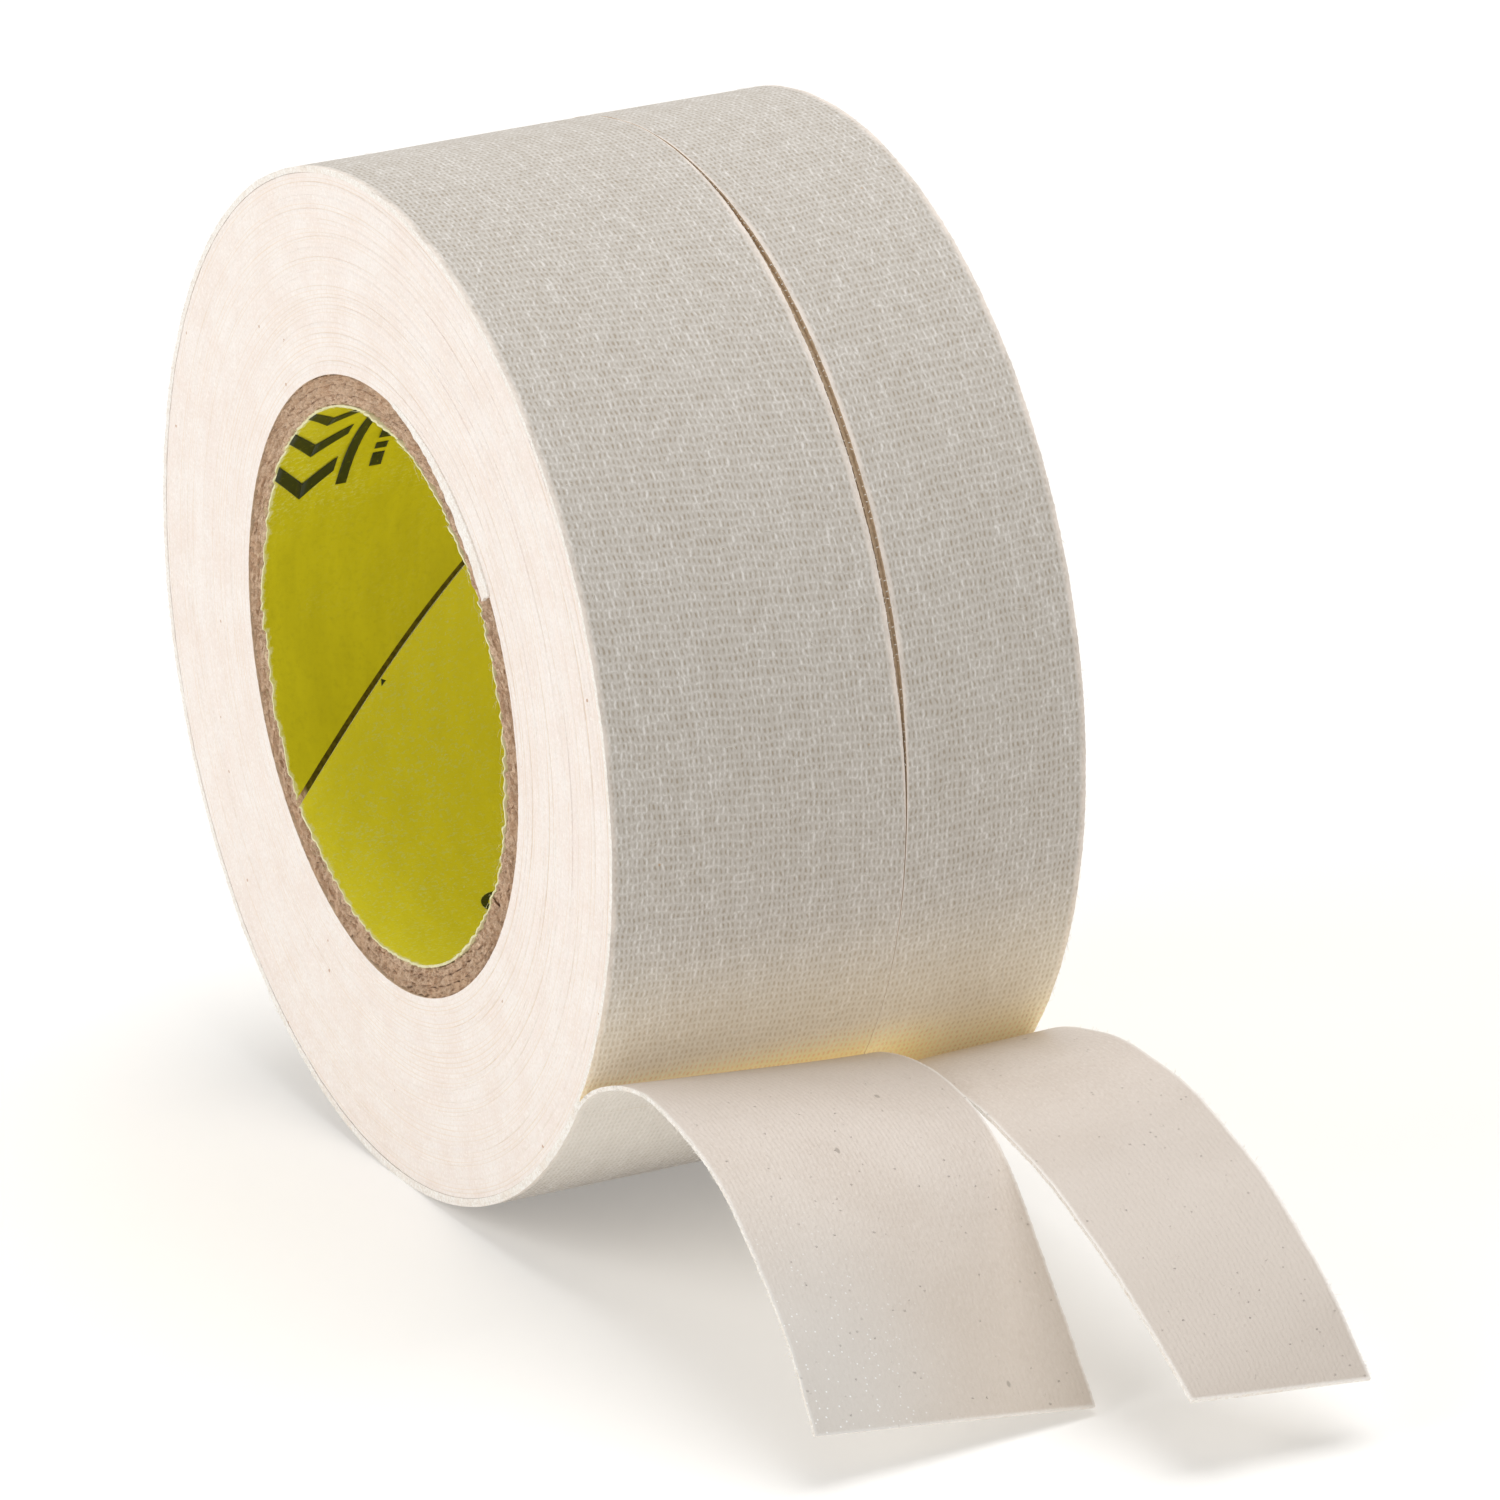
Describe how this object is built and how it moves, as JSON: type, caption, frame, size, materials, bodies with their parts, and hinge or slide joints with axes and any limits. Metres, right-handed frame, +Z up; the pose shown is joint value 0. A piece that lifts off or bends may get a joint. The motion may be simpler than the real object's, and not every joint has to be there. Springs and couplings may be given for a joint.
{
  "type": "slit cloth tape roll",
  "caption": "Roll of woven cotton adhesive tape slit into a wide and a narrow strip on one printed paper core, each with a free tail.",
  "frame": {"origin": "on the bore's axis, at mid-length of the core", "axes": "+Y along the bore, from the wide tape's end to the narrow tape's end; +Z up as the roll stands on its curved side; +X towards the side where the free tails hang"},
  "size_m": [0.1088, 0.035, 0.0711],
  "materials": {
    "printed_liner": "thin uncoated paper, lime green print",
    "kraft_board": "raw fibrous kraft paperboard",
    "wound_tape": "cut edges of wound adhesive cloth",
    "cotton_cloth": "plain-woven matte cotton",
    "adhesive_side": "cloth under a thin slightly shiny rubber adhesive"
  },
  "bodies": {
    "roll": {"core_liner": "printed_liner", "core_inner_ply": "kraft_board", "core_middle_ply": "kraft_board", "core_outer_ply": "kraft_board", "wide_tape_wound_turns": "wound_tape", "narrow_tape_wound_turns": "wound_tape"},
    "wide_turn": {"wide_tape_outer_turn": "cotton_cloth"},
    "wide_tail": {"wide_tape_tail": "adhesive_side"},
    "narrow_turn": {"narrow_tape_outer_turn": "cotton_cloth"},
    "narrow_tail": {"narrow_tape_tail": "adhesive_side"}
  },
  "joints": [
    {"name": "wide_unwind", "type": "hinge", "parent": "roll", "child": "wide_turn", "pos_m": [0, 0, 0], "axis": [0, -1, 0], "continuous": true},
    {"name": "wide_fold", "type": "hinge", "parent": "wide_turn", "child": "wide_tail", "pos_m": [0.0303, -0.0068, -0.018], "axis": [0, -1, 0], "range_deg": [0, 25]},
    {"name": "narrow_unwind", "type": "hinge", "parent": "roll", "child": "narrow_turn", "pos_m": [0, 0, 0], "axis": [0, -1, 0], "continuous": true},
    {"name": "narrow_fold", "type": "hinge", "parent": "narrow_turn", "child": "narrow_tail", "pos_m": [0.0289, 0.0109, -0.0223], "axis": [0, -1, 0], "range_deg": [-5, 25]}
  ]
}
